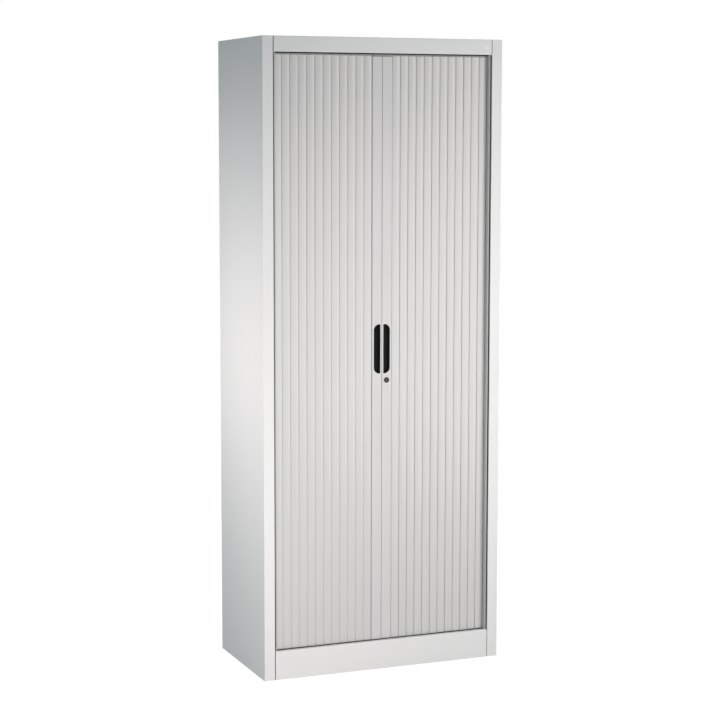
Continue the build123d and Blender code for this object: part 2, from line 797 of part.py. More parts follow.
def make_shelf(top):
    half = SHELF_SHEET / 2
    across = folded(
        Plane.YZ,
        SHELF_SHEET,
        (SHELF_FRONT + SHELF_LIP, top - SHELF_FOLD + half),
        (SHELF_FRONT + half, top - SHELF_FOLD + half),
        (SHELF_FRONT + half, top - half),
        (SHELF_REAR - half, top - half),
        (SHELF_REAR - half, top - SHELF_FOLD),
        bends=[0, BEND, 0],
    )
    side = folded(
        Plane.XZ,
        SHELF_SHEET,
        (0, top - half),
        (SHELF_HALF - half, top - half),
        (SHELF_HALF - half, top - SHELF_FOLD),
        bends=0,
    )
    room = BEND + SHELF_SHEET
    with BuildPart() as shelf:
        extrude(across, amount=SHELF_HALF - room, both=True)
        with BuildSketch(Plane.XZ.offset(-SHELF_FRONT - room)):
            add(side)
        extrude(amount=-(SHELF_REAR - SHELF_FRONT - 2 * room))
        mirror(about=Plane.YZ)
    return shelf.part


def make_clips():
    """Hooked steel clips, four under each shelf."""
    low_corner = (Align.MAX, Align.CENTER, Align.MIN)
    with BuildPart() as clips:
        for number in range(1, SHELF_COUNT + 1):
            seat = shelf_top(number) - SHELF_FOLD
            for y in (UPRIGHT_FRONT, UPRIGHT_REAR):
                with Locations((UPRIGHT_FACE, y, seat - CLIP_THICK)):
                    Box(CLIP_LEDGE, CLIP_WIDTH, CLIP_THICK, align=low_corner)
                    Box(CLIP_THICK, CLIP_WIDTH, CLIP_LEG, align=low_corner)
                tongue = SLOT_HEIGHT - 2 * CLIP_THICK
                reach = SHEET + CLIP_PLAY + CLIP_THICK
                out_corner = (Align.MIN, Align.CENTER, Align.MIN)
                with Locations((UPRIGHT_FACE, y, seat + CLIP_PLAY)):
                    Box(reach, SLOT_WIDTH - 2 * CLIP_PLAY, tongue, align=out_corner)
                with Locations((UPRIGHT_FACE + reach - CLIP_THICK, y, seat - CLIP_HOOK)):
                    Box(
                        CLIP_THICK,
                        SLOT_WIDTH - 2 * CLIP_PLAY,
                        tongue + CLIP_HOOK,
                        align=out_corner,
                    )
        mirror(about=Plane.YZ)
    return clips.part


def make_foot(x, y):
    """Levelling foot: a hexagonal pad to turn it by, and a stud in the deck's nut."""
    with BuildPart() as foot:
        with BuildSketch(Plane.XY.offset(FOOT_CLEAR)):
            with Locations((x, y)):
                RegularPolygon(FOOT_PAD, 6)
        extrude(amount=FOOT_PAD_HEIGHT)
        chamfer(foot.edges().group_by(Axis.Z)[-1], FOOT_PAD_HEIGHT / 4)
        with BuildSketch(Plane.XY.offset(FOOT_CLEAR + FOOT_PAD_HEIGHT)):
            with Locations((x, y)):
                RegularPolygon(FOOT_STUD, THREAD_SIDES, False)
        extrude(amount=FOOT_STUD_TOP - FOOT_CLEAR - FOOT_PAD_HEIGHT)
    return foot.part


def build():
    os.makedirs("parts", exist_ok=True)

    side_panel = make_side_panel()
    finish("right_side_panel", side_panel)
    finish("left_side_panel", mirrored(side_panel))
    finish("top_panel", make_top_panel())
    finish("plinth", make_plinth())
    finish("base_deck", make_base_deck())
    finish("floor_panel", make_floor_panel())
    finish("back_panel", make_back_panel())
    finish("jamb_strips", make_jamb_strips())
    finish("rail_badge", make_rail_badge())

    finish("upper_track", make_track(CEILING, UPPER_LIP))
    finish("lower_track", make_track(DECK, LOWER_LIP))

    section = slat_section()
    hinges = hinge_points(0)
    for number, (first, second) in enumerate(zip(hinges, hinges[1:]), start=1):
        slat = make_slat(section, first, second)
        finish(f"right_slat_{number:02d}", slat)
        finish(f"left_slat_{number:02d}", mirrored(slat))

    finish("right_closing_rail", make_closing_rail(with_lock=True))
    finish("left_closing_rail", mirrored(make_closing_rail(with_lock=False)))
    glides = make_glides()
    finish("right_rail_glides", glides)
    finish("left_rail_glides", mirrored(glides))
    grip = make_grip()
    finish("right_grip", grip)
    finish("left_grip", mirrored(grip))

    finish("lock_housing", make_lock_housing())
    finish("lock_nut", make_lock_nut())
    finish("lock_plug", make_lock_plug())
    finish("lock_hook", make_lock_hook())
    finish("strike", make_strike())

    lining = make_lining()
    finish("right_lining", lining)
    finish("left_lining", mirrored(lining))
    finish("shelf_uprights", make_uprights())
    for number in range(1, SHELF_COUNT + 1):
        finish(f"shelf_{number}", make_shelf(shelf_top(number)))
    finish("shelf_clips", make_clips())

    finish("front_right_foot", make_foot(FOOT_X, -FOOT_Y))
    finish("front_left_foot", make_foot(-FOOT_X, -FOOT_Y))
    finish("rear_right_foot", make_foot(FOOT_X, FOOT_Y))
    finish("rear_left_foot", make_foot(-FOOT_X, FOOT_Y))


build()
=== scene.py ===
"""Tambour door cabinet: finishes, finer pieces, studio and camera around its CAD frame."""

from math import acos, asin, atan2, cos, degrees, hypot, pi, radians, sin

import bmesh
import bpy
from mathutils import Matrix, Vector


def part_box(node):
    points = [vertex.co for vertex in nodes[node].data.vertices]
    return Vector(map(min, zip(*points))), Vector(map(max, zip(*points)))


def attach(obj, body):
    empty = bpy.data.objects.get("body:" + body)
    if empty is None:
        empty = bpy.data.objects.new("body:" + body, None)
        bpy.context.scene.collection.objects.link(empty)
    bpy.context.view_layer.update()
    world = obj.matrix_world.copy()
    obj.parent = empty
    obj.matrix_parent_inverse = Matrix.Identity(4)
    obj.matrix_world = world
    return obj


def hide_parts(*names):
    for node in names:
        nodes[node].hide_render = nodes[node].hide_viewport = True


# Carcass: side panels, top panel, plinth, deck, floor, back, linings and shelves.
# Cold-rolled sheet, cut and folded on a press brake, spot welded, degreased and powder
# coated light grey in one go, so every panel has the same satin, slightly rippled skin.

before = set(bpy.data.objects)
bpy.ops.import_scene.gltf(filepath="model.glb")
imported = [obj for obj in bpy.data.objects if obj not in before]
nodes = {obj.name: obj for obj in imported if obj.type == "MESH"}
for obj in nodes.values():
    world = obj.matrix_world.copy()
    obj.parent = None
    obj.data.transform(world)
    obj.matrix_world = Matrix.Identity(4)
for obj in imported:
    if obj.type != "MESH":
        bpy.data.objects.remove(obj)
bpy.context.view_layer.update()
MM = 0.001


def linear(hex_colour):
    """Linear RGBA from an sRGB hex value."""
    parts = [int(hex_colour[i : i + 2], 16) / 255 for i in (1, 3, 5)]
    return [c / 12.92 if c <= 0.04045 else ((c + 0.055) / 1.055) ** 2.4 for c in parts] + [1]


def feed(made, **inputs):
    """Give a node's inputs a value or a link: Base_Color by name, i6 by number."""
    for key, value in inputs.items():
        number = key[1:]
        socket = made.inputs[int(number) if number.isdigit() else key.replace("_", " ")]
        if isinstance(value, bpy.types.NodeSocket):
            made.id_data.links.new(value, socket)
        else:
            socket.default_value = value


def node(tree, kind, settings=None, **inputs):
    """Add a node, set its properties and give its inputs a value or a link."""
    made = tree.nodes.new(kind)
    for key, value in (settings or {}).items():
        setattr(made, key, value)
    feed(made, **inputs)
    return made


def material(name, **surface):
    """Material with a Principled shader; returns both, its tree and the piece's own space."""
    made = bpy.data.materials.new(name)
    made.use_nodes = True
    tree = made.node_tree
    shader = tree.nodes["Principled BSDF"]
    feed(shader, **surface)
    return made, shader, tree, node(tree, "ShaderNodeTexCoord").outputs["Object"]


# Polyester powder coat, baked: satin, with the orange peel of a cured powder film.
# The ripple is about 3 mm across, and the film's colour drifts by a shade over half a
# metre. At a low angle the fine skin scatters most of the mirror reflection away.
powder_coat, paint, tree, place = material(
    "powder_coat", Roughness=0.42, IOR=1.5, Specular_IOR_Level=0.2
)
# a Mix node of colours takes them at inputs 6 and 7 and gives the blend at output 2
COLOURS = {"data_type": "RGBA"}
drift = node(tree, "ShaderNodeTexNoise", Vector=place, Scale=1 / (500 * MM), Detail=1.0)
dark, light = linear("#E8E9E8"), linear("#ECEDEC")
shade = node(tree, "ShaderNodeMix", COLOURS, i0=drift.outputs["Fac"], i6=dark, i7=light)
peel = node(tree, "ShaderNodeTexNoise", Vector=place, Scale=1 / (3 * MM), Detail=2.0)
ripple = node(
    tree, "ShaderNodeBump", Height=peel.outputs["Fac"], Distance=0.02 * MM, Strength=0.5
)
feed(paint, Base_Color=shade.outputs[2], Normal=ripple.outputs["Normal"])


def finish_nodes(names, surface):
    """Give solids of the frame, as they are, a finish in every slot."""
    for name in names:
        for slot in nodes[name].material_slots:
            slot.material = surface


finish_nodes(("left_side_panel", "right_side_panel", "top_panel", "plinth"), powder_coat)
finish_nodes(("base_deck", "floor_panel", "back_panel"), powder_coat)
finish_nodes(("left_lining", "right_lining"), powder_coat)
finish_nodes(("shelf_1", "shelf_2", "shelf_3", "shelf_4"), powder_coat)


# Rivets down the back: zinc-plated steel with low heads, 5 mm across, set from outside
# through the back panel into the rear folds of the linings, beside the side panels.

# Zinc, electroplated and passivated: a dull metal with a cloudy bloom, 12 mm across.
zinc_plate, zinc, tree, place = material("zinc_plated_steel", Metallic=1.0, Roughness=0.42)
bloom = node(tree, "ShaderNodeTexNoise", Vector=place, Scale=1 / (12 * MM), Detail=3.0)
dark, light = linear("#A9ADB0"), linear("#C6C9CB")
shade = node(tree, "ShaderNodeMix", COLOURS, i0=bloom.outputs["Fac"], i6=dark, i7=light)
feed(zinc, Base_Color=shade.outputs[2])

SMOOTH_UP_TO = 35.0  # degrees between faces; a sharper edge stays an edge


def new_piece(name, mesh, surface, body):
    """Object from a mesh in metres, with its finish, riding on a body."""
    bmesh.ops.recalc_face_normals(mesh, faces=mesh.faces)
    data = bpy.data.meshes.new(name)
    mesh.normal_update()
    mesh.to_mesh(data)
    mesh.free()
    data.shade_smooth()
    data.set_sharp_from_angle(angle=radians(SMOOTH_UP_TO))
    piece = bpy.data.objects.new(name, data)
    bpy.context.collection.objects.link(piece)
    data.materials.append(surface)
    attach(piece, body)
    return piece


def bridge(mesh, rings, capped=True):
    """Skin a list of equally long closed rings of points, and close both ends."""
    loops = [[mesh.verts.new(point) for point in ring] for ring in rings]
    count = len(loops[0])
    for near, far in zip(loops, loops[1:]):
        for i in range(count):
            j = (i + 1) % count
            mesh.faces.new((near[i], near[j], far[j], far[i]))
    if capped:
        mesh.faces.new(loops[0][::-1])
        mesh.faces.new(loops[-1])


def turned(mesh, profile, centre, segments, capped=True):
    """Revolve (radius, depth) pairs in millimetres about an axis along Y."""
    rings = []
    for radius, depth in profile:
        ring = []
        for i in range(segments):
            angle = 2 * pi * i / segments
            x = centre[0] + radius * cos(angle)
            z = centre[2] + radius * sin(angle)
            ring.append((x * MM, (centre[1] + depth) * MM, z * MM))
        rings.append(ring)
    bridge(mesh, rings, capped)


# radius and height over the back panel, from under the head to its flat middle
RIVET_HEAD = ((2.5, -0.2), (2.5, 0.15), (2.2, 0.5), (1.5, 0.75), (0.8, 0.85))
RIVET_INSET = 6.0
RIVETS_DOWN = 9
RIVET_LOWEST = 90.0
RIVET_PITCH = 225.0
back_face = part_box("back_panel")[1][1] / MM
rivet_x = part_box("right_lining")[0][0] / MM + RIVET_INSET
rivets = bmesh.new()
for row in range(RIVETS_DOWN):
    for x in (-rivet_x, rivet_x):
        centre = (x, back_face, RIVET_LOWEST + row * RIVET_PITCH)
        turned(rivets, RIVET_HEAD, centre, segments=20)
new_piece("back_rivets", rivets, zinc_plate, "cabinet")


# Jamb strips: rigid PVC profile, extruded in grey and pushed onto the fold of each front
# post, to keep the slats off painted steel. A blade with a chamfered nose stands beside
# the curtain, and a flange lies behind the post.

# Rigid PVC, as it leaves the die: matt, with faint streaks along its length. They are
# drawn 2 mm wide and 200 mm long, coarser than real ones, so that they show.
strip_vinyl, vinyl, tree, place = material("extruded_rigid_vinyl", Roughness=0.5, IOR=1.53)
per_streak = (1 / (2 * MM), 1 / (2 * MM), 1 / (200 * MM))
drawn = node(tree, "ShaderNodeMapping", Vector=place, Scale=per_streak)
streak = node(tree, "ShaderNodeTexNoise", Vector=drawn.outputs["Vector"], Scale=1.0)
dark, light = linear("#B2B7B7"), linear("#BCC1C1")
shade = node(tree, "ShaderNodeMix", COLOURS, i0=streak.outputs["Fac"], i6=dark, i7=light)
feed(vinyl, Base_Color=shade.outputs[2])


def extruded(mesh, section, heights, sign):
    """Upright bar between two heights, from a section in millimetres seen from above."""
    bridge(mesh, [[(sign * x * MM, y * MM, z) for x, y in section] for z in heights])


POST_FACE = 35.0
STRIP_SLOT = 3.6  # between the post and the blade
BLADE = 3.0
BLADE_NOSE = 1.2
FLANGE = 1.8
low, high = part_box("jamb_strips")
strip_front, strip_back = low[1] / MM, high[1] / MM
flange_out = high[0] / MM
flange_front = strip_back - FLANGE
post_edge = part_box("right_side_panel")[1][0] / MM - POST_FACE
blade_out = post_edge - STRIP_SLOT
blade_in = blade_out - BLADE
# half of the pair: out from the middle of the opening, and back
strip_section = (
    (blade_in, strip_front + BLADE_NOSE),
    (blade_in + BLADE_NOSE, strip_front),
    (blade_out, strip_front),
    (blade_out, flange_front),
    (flange_out, flange_front),
    (flange_out, strip_back),
    (blade_in, strip_back),
)
strips = bmesh.new()
for sign in (-1, 1):
    extruded(strips, strip_section, (low[2], high[2]), sign)
piece = new_piece("jamb_strip_extrusions", strips, strip_vinyl, "cabinet")
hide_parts("jamb_strips")


# Seals: black pile strip, woven and cut to length, in the slot beside each blade, under
# the top rail's fold and along the plinth's fold. Black foam tape, cut to size, closes the
# joints where top rail and plinth meet the posts. Both are painted shade: black put in
# these gaps and joints to give them the darkness of shadow.


def pile(name, dark, light):
    """Woven polypropylene pile: no shine, only light and shadow between its tufts; the
    shadow is partly painted, as a colour that is darker where the tufts are low.

    The tufts are drawn 0.6 mm across, because the real fibres are too fine to show.
    """
    made, fibre, tree, place = material(name, Roughness=0.9, IOR=1.49)
    tuft = node(tree, "ShaderNodeTexNoise", Vector=place, Scale=1 / (0.6 * MM), Detail=1.0)
    height = tuft.outputs["Fac"]
    # darker where the tufts are low: painted shade between them
    shade = node(tree, "ShaderNodeMix", COLOURS, i0=height, i6=linear(dark), i7=linear(light))
    nap = node(tree, "ShaderNodeBump", Height=height, Distance=0.3 * MM, Strength=0.8)
    feed(fibre, Base_Color=shade.outputs[2], Normal=nap.outputs["Normal"])
    return made


# black pile: painted shade for the slots, joints and the lines under the rail and on the
# plinth
black_pile_for_shade = pile("black_pile_painted_shade", "#0B0C0C", "#202222")

LONG_EDGE = 0.9  # an edge is a long one from this share of the longest side


def soft_bar(mesh, low, high, ease):
    """Bar between two corners in millimetres, its long edges eased."""
    size = [b - a for a, b in zip(low, high)]
    made = bmesh.ops.create_cube(mesh, size=1.0)["verts"]
    for vert in made:
        vert.co = [(a + s * (c + 0.5)) * MM for a, s, c in zip(low, size, vert.co)]
    shortest = LONG_EDGE * max(size) * MM
    edges = dict.fromkeys(e for v in made for e in v.link_edges if e.calc_length() > shortest)
    bmesh.ops.bevel(mesh, geom=list(edges), offset=ease * MM, segments=2, affect="EDGES")


rail_end, fold_back, plinth_top = [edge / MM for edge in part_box("plinth")[1]]
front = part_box("plinth")[0][1] / MM
rail_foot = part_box("top_panel")[0][2] / MM
cabinet_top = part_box("top_panel")[1][2] / MM
PILE_EASE = 0.4
SLOT_PLAY = 0.1
SLOT_PILE_INSET = 3.0  # behind the front of the posts
PILE_END = 1.0  # short of the top rail and the plinth
PILE_DROP = 3.6  # below the top rail's fold
PILE_RISE = 2.6  # above the plinth's fold
TAPE_EASE = 0.2
TAPE_PLAY = 0.05
TAPE_FRONT = 1.2  # behind the front of the posts
TAPE_BACK = 12.0
TAPE_END = 2.0
TAPE_TOP = 1.2
tapes = ((TAPE_END, plinth_top - TAPE_END), (rail_foot + TAPE_END, cabinet_top - TAPE_TOP))
seals = bmesh.new()
for sign in (-1, 1):
    near, far = sorted((sign * (blade_out + SLOT_PLAY), sign * (post_edge - SLOT_PLAY)))
    foot = (near, front + SLOT_PILE_INSET, plinth_top + PILE_END)
    soft_bar(seals, foot, (far, flange_front, rail_foot - PILE_END), PILE_EASE)
    near, far = sorted((sign * (rail_end + TAPE_PLAY), sign * (post_edge - TAPE_PLAY)))
    for bottom, top in tapes:
        foot = (near, front + TAPE_FRONT, bottom)
        soft_bar(seals, foot, (far, front + TAPE_BACK, top), TAPE_EASE)
# the piles that lie across the opening, under the top rail and on the plinth, painted shade
# for the dark lines there: start and end in front of the fold's rear edge, bottom and top
across_opening = (
    (8.0, 1.5, rail_foot - PILE_DROP, rail_foot - SLOT_PLAY),
    (3.5, 0.3, plinth_top + SLOT_PLAY, plinth_top + PILE_RISE),
)
for start, end, bottom, top in across_opening:
    foot = (-blade_in, fold_back - start, bottom)
    soft_bar(seals, foot, (blade_in, fold_back - end, top), PILE_EASE)
new_piece("opening_seals_painted_shade", seals, black_pile_for_shade, "cabinet")


# Brushes: grey pile, woven on a backing tape, glued along the inner side of each blade.
# They close the gap to the curtain, and stop just in front of its slats. Their mid grey is
# painted shade: a dull line beside each blade, where the gap to the curtain lies in shadow.

# grey pile: painted shade for the line beside each blade
grey_pile_for_shade = pile("grey_pile_painted_shade", "#A0A5A2", "#B8BDBA")

BRUSH_PROUD = 1.1
BRUSH_EASE = 0.6
BRUSH_BACK = -188.4
brush_front = strip_front + BLADE_NOSE
# half of the pair, as for the strips
brush_section = (
    (blade_in, brush_front),
    (blade_in - BRUSH_PROUD, brush_front + BRUSH_EASE),
    (blade_in - BRUSH_PROUD, BRUSH_BACK),
    (blade_in, BRUSH_BACK),
)
brushes = bmesh.new()
heights = ((plinth_top + PILE_END) * MM, (rail_foot - PILE_END) * MM)
for sign in (-1, 1):
    extruded(brushes, brush_section, heights, sign)
new_piece("curtain_brushes_painted_shade", brushes, grey_pile_for_shade, "cabinet")


# Tracks: glass-filled nylon channels, moulded in grey, one screwed under the top panel
# and one on the deck, with the closing rails' glides in the same nylon. They show as a
# dull lip just under the top rail, their grey darkened there as painted shade from the rail.

# Nylon from a textured mould: dull, with faint cloudy flow marks, 4 mm across. Its grey
# is darker than the nylon's own: painted shade for the band under the top rail.
track_nylon_painted_shade, nylon, tree, place = material("moulded_nylon_painted_shade", Roughness=0.55, IOR=1.53)
flow = node(tree, "ShaderNodeTexNoise", Vector=place, Scale=1 / (4 * MM), Detail=3.0)
dark, light = linear("#8B908D"), linear("#999E9B")
shade = node(tree, "ShaderNodeMix", COLOURS, i0=flow.outputs["Fac"], i6=dark, i7=light)
feed(nylon, Base_Color=shade.outputs[2])
finish_nodes(("upper_track", "lower_track"), track_nylon_painted_shade)
finish_nodes(("left_rail_glides", "right_rail_glides"), track_nylon_painted_shade)


# Curtain slats: rigid PVC, extruded in light warm grey and cut to length, then slid
# together bead in socket. The face is crowned, with rounded edges beside each groove.

# PVC, sized and cooled on a polished former: satin, with faint lines left by the die.
# They are drawn 4 mm wide and 600 mm long, coarser than real ones, so that they show.
slat_vinyl, vinyl, tree, place = material("extruded_satin_vinyl", Roughness=0.3, IOR=1.54)
per_line = (1 / (4 * MM), 1 / (4 * MM), 1 / (600 * MM))
drawn = node(tree, "ShaderNodeMapping", Vector=place, Scale=per_line)
streak = node(tree, "ShaderNodeTexNoise", Vector=drawn.outputs["Vector"], Scale=1.0)
dark, light = linear("#CCCDCB"), linear("#D2D3D1")
shade = node(tree, "ShaderNodeMix", COLOURS, i0=streak.outputs["Fac"], i6=dark, i7=light)
die_line = node(
    tree, "ShaderNodeBump", Height=streak.outputs["Fac"], Distance=0.01 * MM, Strength=0.4
)
feed(vinyl, Base_Color=shade.outputs[2], Normal=die_line.outputs["Normal"])

SLATS_IN_CURTAIN = 13
SLAT_PITCH = 27.0
SLAT_CROWN = 5.2  # from the hinge line to the middle of the face
SLAT_EDGE = 3.7  # and to its edges
SLAT_SKIN = 1.2
SLAT_LAP = 0.6
SLAT_ROUND = 0.7
SLAT_LEAN = 0.25  # every second slat leans, its inner edge this much further back
BEAD_RADIUS = 1.6
BEAD_NECK = 1.1
SOCKET_BORE = 1.9
SOCKET_RADIUS = 3.0
SOCKET_PLAY = 0.3  # between a socket and the web of the next slat
MOUTH_OUT = 20.0  # degrees from the slat's plane to the mouth's lip, on the face's side
MOUTH_IN = 75.0  # and on the side of the corner's centre
ROUND_STEPS = 4
FACE_STEPS = 14
UNDER_STEPS = 8


def arc(centre_x, radius, start, end, steps):
    """Points on a circle about a hinge, angles in degrees."""
    angles = [radians(start + (end - start) * i / steps) for i in range(steps + 1)]
    return [(centre_x + radius * cos(a), radius * sin(a)) for a in angles]


def slat_outline(lean):
    """Closed outline of a slat: hinge of its bead at the origin, face towards +Y."""
    web = SOCKET_RADIUS + SOCKET_PLAY  # where the wall from the face to the bead starts
    start = web - BEAD_NECK / 2
    end = SLAT_PITCH + SLAT_LAP
    middle = (start + end) / 2
    half = (end - start) / 2

    def face(x):
        across = (x - middle) / half
        return SLAT_CROWN - (SLAT_CROWN - SLAT_EDGE) * across**2 - lean * (1 - across) / 2

    def under(x):
        return face(x) - SLAT_SKIN

    points = []
    for i in range(ROUND_STEPS + 1):
        turn = pi / 2 * i / ROUND_STEPS
        drop = SLAT_ROUND * (1 - sin(turn))
        points.append((start + SLAT_ROUND * (1 - cos(turn)), face(start + SLAT_ROUND) - drop))
    for i in range(1, FACE_STEPS):
        x = start + SLAT_ROUND + (end - start - 2 * SLAT_ROUND) * i / FACE_STEPS
        points.append((x, face(x)))
    for i in range(ROUND_STEPS + 1):
        turn = pi / 2 * (1 - i / ROUND_STEPS)
        drop = SLAT_ROUND * (1 - sin(turn))
        points.append((end - SLAT_ROUND * (1 - cos(turn)), face(end - SLAT_ROUND) - drop))
    # round the outside of the socket, through its bore and on to its inner side
    shoulder = 90 - degrees(asin(SLAT_LAP / SOCKET_RADIUS))
    points += arc(SLAT_PITCH, SOCKET_RADIUS, shoulder, MOUTH_OUT, steps=4)
    points += arc(SLAT_PITCH, SOCKET_BORE, MOUTH_OUT, 360 - MOUTH_IN, steps=16)
    points += arc(SLAT_PITCH, SOCKET_RADIUS, 360 - MOUTH_IN, 180, steps=7)
    # back under the face to the web, and round the bead
    back = SLAT_PITCH - SOCKET_RADIUS
    front = web + BEAD_NECK
    for i in range(UNDER_STEPS + 1):
        x = back + (front - back) * i / UNDER_STEPS
        points.append((x, under(x)))
    points.append((front, -BEAD_NECK / 2))
    neck = degrees(asin(BEAD_NECK / 2 / BEAD_RADIUS))
    points += arc(0, BEAD_RADIUS, -neck, neck - 360, steps=16)
    points.append((web, BEAD_NECK / 2))
    points.append((web, under(web)))
    points.append((start, under(start)))
    return points


HINGE_LINE = -183.0  # of the straight run, behind the opening
CORNER_START = 358.0  # from the middle to where both tracks begin to turn back
CORNER_RADIUS = 30.0
FIRST_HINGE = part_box("right_slat_01")[0][0] / MM + BEAD_RADIUS


def corner_turn(hinge_x):
    """Turn of a slat whose far hinge is in the corner, from its hinge on the straight run."""
    ahead = CORNER_START - hinge_x
    if ahead >= SLAT_PITCH:
        return 0.0
    away = hypot(ahead, CORNER_RADIUS)
    between = acos((away**2 + SLAT_PITCH**2 - CORNER_RADIUS**2) / (2 * away * SLAT_PITCH))
    return atan2(CORNER_RADIUS, ahead) - between


def build_slat(side, number):
    """One slat at its place in the shut curtain, counted from the closing rail."""
    name = f"{side}_slat_{number:02d}"
    hinge_x = FIRST_HINGE + (number - 1) * SLAT_PITCH
    turn = corner_turn(hinge_x)
    section = []
    for along, out in slat_outline(SLAT_LEAN if number % 2 else 0.0):
        x = hinge_x + along * cos(turn) + out * sin(turn)
        y = HINGE_LINE + along * sin(turn) - out * cos(turn)
        section.append((x, y))
    slat = bmesh.new()
    heights = [corner[2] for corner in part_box(name)]
    extruded(slat, section, heights, 1 if side == "right" else -1)
    piece = new_piece(f"{name}_extrusion", slat, slat_vinyl, name)
    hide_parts(name)


for side in ("left", "right"):
    for number in range(1, SLATS_IN_CURTAIN + 1):
        build_slat(side, number)


# Closing rails: aluminium box extrusions, painted to match the slats, one at the leading
# edge of each curtain. The meeting edges are rounded.

# Stoved paint on a smooth extrusion: satin, without the powder coat's ripple, and a shade
# darker than the posts. Its colour drifts over 300 mm.
rail_paint, paint, tree, place = material("painted_aluminium", Roughness=0.4, IOR=1.5)
drift = node(tree, "ShaderNodeTexNoise", Vector=place, Scale=1 / (300 * MM), Detail=1.0)
dark, light = linear("#CFCFCE"), linear("#D3D3D3")
shade = node(tree, "ShaderNodeMix", COLOURS, i0=drift.outputs["Fac"], i6=dark, i7=light)
feed(paint, Base_Color=shade.outputs[2])
finish_nodes(("left_closing_rail", "right_closing_rail"), rail_paint)


# Finger grips: ABS cups, moulded in black and pressed into the rails. Each is half of a
# long rounded shape, with a thin rim and a deep well.

# ABS from a spark-eroded mould: near black and without shine. The texture is drawn
# 0.8 mm across, because the real one is too fine to show.
grip_plastic, plastic, tree, place = material(
    "spark_textured_abs",
    Base_Color=linear("#0E1110"),
    Roughness=0.8,
    IOR=1.53,
    Specular_IOR_Level=0.25,
)
grain = node(tree, "ShaderNodeTexNoise", Vector=place, Scale=1 / (0.8 * MM), Detail=2.0)
sparked = node(
    tree, "ShaderNodeBump", Height=grain.outputs["Fac"], Distance=0.05 * MM, Strength=0.6
)
feed(plastic, Normal=sparked.outputs["Normal"])

GRIP_WIDTH = 22.0
GRIP_LENGTH = 155.0
GRIP_OUTER = 18.5  # corner radius away from the meeting line
GRIP_INNER = 2.5  # and beside it
GRIP_SHARPEST = 0.3
OUTER_STEPS = 14
INNER_STEPS = 6
# inset from the outline and depth from the rail's face: from the floor of the well up to
# the rim, over it, and back along the outside of the cup
GRIP_SECTION = (
    (5.5, 11.6),
    (4.2, 11.2),
    (3.6, 9.5),
    (3.2, 0.2),
    (3.0, -0.5),
    (2.5, -0.9),
    (1.8, -1.0),
    (0.7, -1.0),
    (0.2, -0.7),
    (0.0, -0.2),
    (0.0, 0.0),
    (1.8, 0.0),
    (1.8, 12.9),
)


def grip_ring(centre, inset, depth, sign):
    """Outline of the grip drawn in by an inset, with the same points at any inset."""
    half_x = GRIP_WIDTH / 2 - inset
    half_z = GRIP_LENGTH / 2 - inset
    outer = GRIP_OUTER - inset
    inner = max(GRIP_INNER - inset, GRIP_SHARPEST)
    corners = (
        (half_x - outer, half_z - outer, outer, 0, OUTER_STEPS),
        (-half_x + inner, half_z - inner, inner, 90, INNER_STEPS),
        (-half_x + inner, -half_z + inner, inner, 180, INNER_STEPS),
        (half_x - outer, -half_z + outer, outer, 270, OUTER_STEPS),
    )
    ring = []
    for x, z, radius, start, steps in corners:
        for i in range(steps + 1):
            angle = radians(start + 90 * i / steps)
            across = sign * (x + radius * cos(angle))
            up = z + radius * sin(angle)
            ring.append(((centre[0] + across) * MM, depth * MM, (centre[2] + up) * MM))
    return ring


for side, sign in (("left", -1), ("right", 1)):
    low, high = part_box(f"{side}_grip")
    centre = [(a + b) / 2 / MM for a, b in zip(low, high)]
    rail_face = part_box(f"{side}_closing_rail")[0][1] / MM
    grip = bmesh.new()
    bridge(grip, [grip_ring(centre, i, rail_face + d, sign) for i, d in GRIP_SECTION])
    piece = new_piece(f"{side}_grip_cup", grip, grip_plastic, f"{side}_leaf")
    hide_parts(f"{side}_grip")


# Lock: a turned plug in a die-cast zinc housing, put through the right rail and held by a
# steel nut, with a stamped hook behind. A pin on the left rail catches the hook.

# Dark nickel, plated over polished zinc: a near-black metal with soft reflections and
# faint wiping marks, 4 mm across.
lock_nickel, nickel, tree, place = material("dark_nickel_plate", Metallic=1.0, Roughness=0.33)
wipe = node(tree, "ShaderNodeTexNoise", Vector=place, Scale=1 / (4 * MM), Detail=2.0)
dark, light = linear("#2C3031"), linear("#404445")
shade = node(tree, "ShaderNodeMix", COLOURS, i0=wipe.outputs["Fac"], i6=dark, i7=light)
feed(nickel, Base_Color=shade.outputs[2])

LOCK_FLANGE = 9.0
LOCK_BARREL = 7.5
LOCK_BORE = 5.56
# radius and depth from the front of the flange: from the rear end of the bore over the
# barrel and the flange, and back to the bore's mouth
HOUSING_SECTION = (
    (LOCK_BORE, 22.5),
    (LOCK_BARREL, 22.5),
    (LOCK_BARREL, 2.0),
    (LOCK_FLANGE, 2.0),
    (LOCK_FLANGE, 1.0),
    (LOCK_FLANGE - 0.3, 0.35),
    (LOCK_FLANGE - 1.0, 0.0),
    (LOCK_BORE + 0.7, 0.0),
    (LOCK_BORE + 0.15, 0.15),
    (LOCK_BORE, 0.7),
)
low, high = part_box("lock_housing")
centre = ((low[0] + high[0]) / 2 / MM, low[1] / MM, (low[2] + high[2]) / 2 / MM)
housing = bmesh.new()
closed = HOUSING_SECTION + HOUSING_SECTION[:1]
turned(housing, closed, centre, segments=48, capped=False)
bmesh.ops.remove_doubles(housing, verts=housing.verts, dist=1e-6)
piece = new_piece("lock_housing_ring", housing, lock_nickel, "right_leaf")
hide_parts("lock_housing")
finish_nodes(("lock_plug",), lock_nickel)
finish_nodes(("lock_nut", "lock_hook", "strike"), zinc_plate)


# Badge: a plain disc of white acrylic, 15 mm across, turned with a low dome, polished and
# glued near the right end of the top rail.

